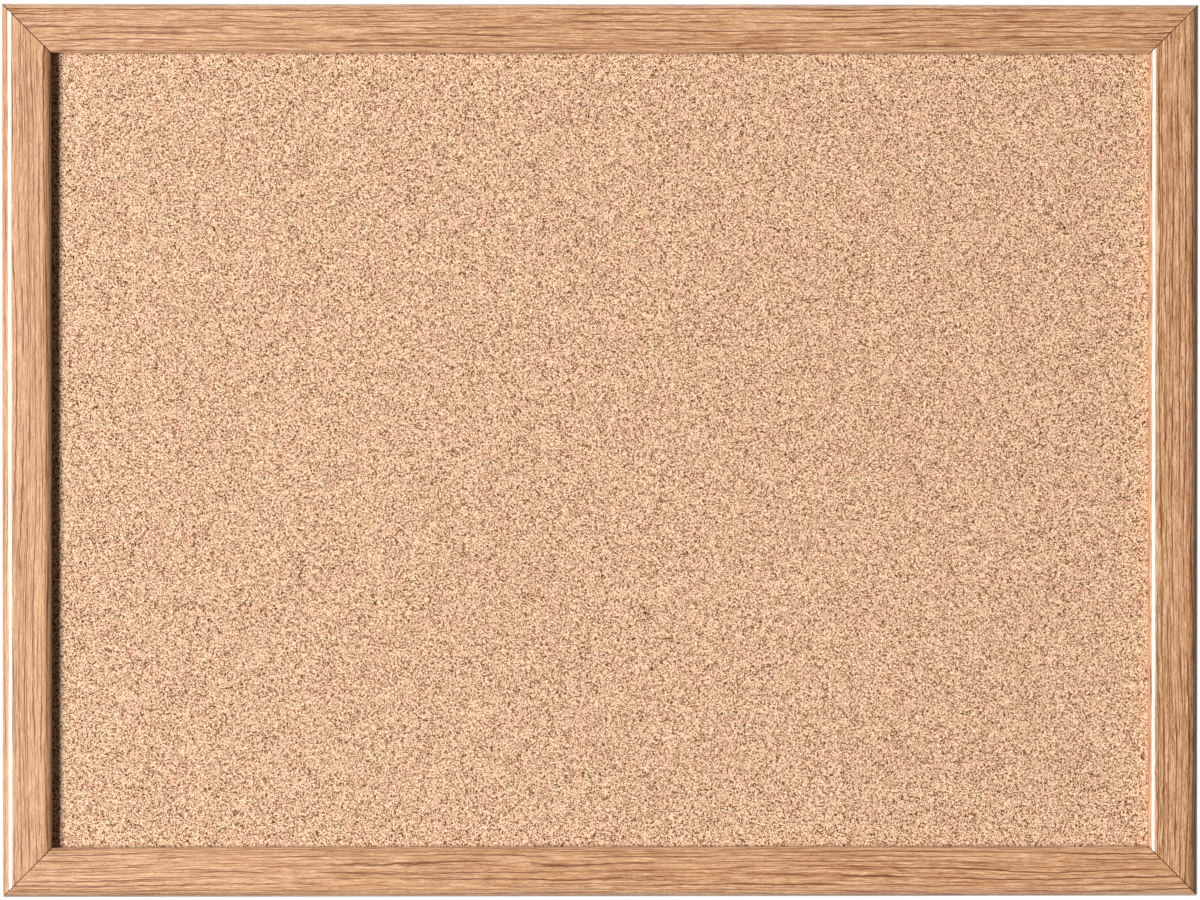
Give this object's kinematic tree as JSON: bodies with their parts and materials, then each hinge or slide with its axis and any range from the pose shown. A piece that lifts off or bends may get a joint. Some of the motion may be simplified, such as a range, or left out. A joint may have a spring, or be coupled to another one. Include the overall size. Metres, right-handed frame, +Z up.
{
  "type": "cork bulletin board",
  "caption": "Cork bulletin board: fine cork panel set back in a mitred oak-effect moulding frame, with swinging D-ring hangers and wall pads behind.",
  "frame": {"origin": "the board's middle on the wall plane, where the backs of the four wall pads lie", "axes": "+Z up, +X to the viewer's right, +Y into the wall, so the pin-up face looks towards -Y"},
  "size_m": [0.6, 0.025, 0.448],
  "materials": {
    "oak_foil": "satin",
    "cork": "matte",
    "softboard": "matte",
    "hardboard": "matte",
    "spring_steel": "satin",
    "zinc_steel": "satin",
    "rubber": "matte"
  },
  "bodies": {
    "board": {"top_rail": "oak_foil", "bottom_rail": "oak_foil", "left_rail": "oak_foil", "right_rail": "oak_foil", "cork_sheet": "cork", "fibreboard_core": "softboard", "hardboard_back": "hardboard", "v_nail_top_left_outer": "spring_steel", "v_nail_top_left_inner": "spring_steel", "v_nail_top_right_outer": "spring_steel", "v_nail_top_right_inner": "spring_steel", "v_nail_bottom_right_outer": "spring_steel", "v_nail_bottom_right_inner": "spring_steel", "v_nail_bottom_left_outer": "spring_steel", "v_nail_bottom_left_inner": "spring_steel", "retainer_top_1": "spring_steel", "retainer_top_2": "spring_steel", "retainer_top_3": "spring_steel", "retainer_bottom_1": "spring_steel", "retainer_bottom_2": "spring_steel", "retainer_bottom_3": "spring_steel", "retainer_left_1": "spring_steel", "retainer_left_2": "spring_steel", "retainer_right_1": "spring_steel", "retainer_right_2": "spring_steel", "hanger_strap_left": "zinc_steel", "hanger_strap_right": "zinc_steel", "screw_left_upper": "zinc_steel", "screw_left_lower": "zinc_steel", "screw_right_upper": "zinc_steel", "screw_right_lower": "zinc_steel", "wall_pad_top_left": "rubber", "wall_pad_top_right": "rubber", "wall_pad_bottom_right": "rubber", "wall_pad_bottom_left": "rubber"},
    "ring_left": {"hanger_ring_left": "zinc_steel"},
    "ring_right": {"hanger_ring_right": "zinc_steel"}
  },
  "joints": [
    {"name": "left_ring_swing", "type": "hinge", "parent": "board", "child": "ring_left", "pos_m": [-0.2915, -0.00255, 0.164], "axis": [1, 0, 0], "range_deg": [0, 185]},
    {"name": "right_ring_swing", "type": "hinge", "parent": "board", "child": "ring_right", "pos_m": [0.2915, -0.00255, 0.164], "axis": [1, 0, 0], "range_deg": [0, 185]}
  ]
}
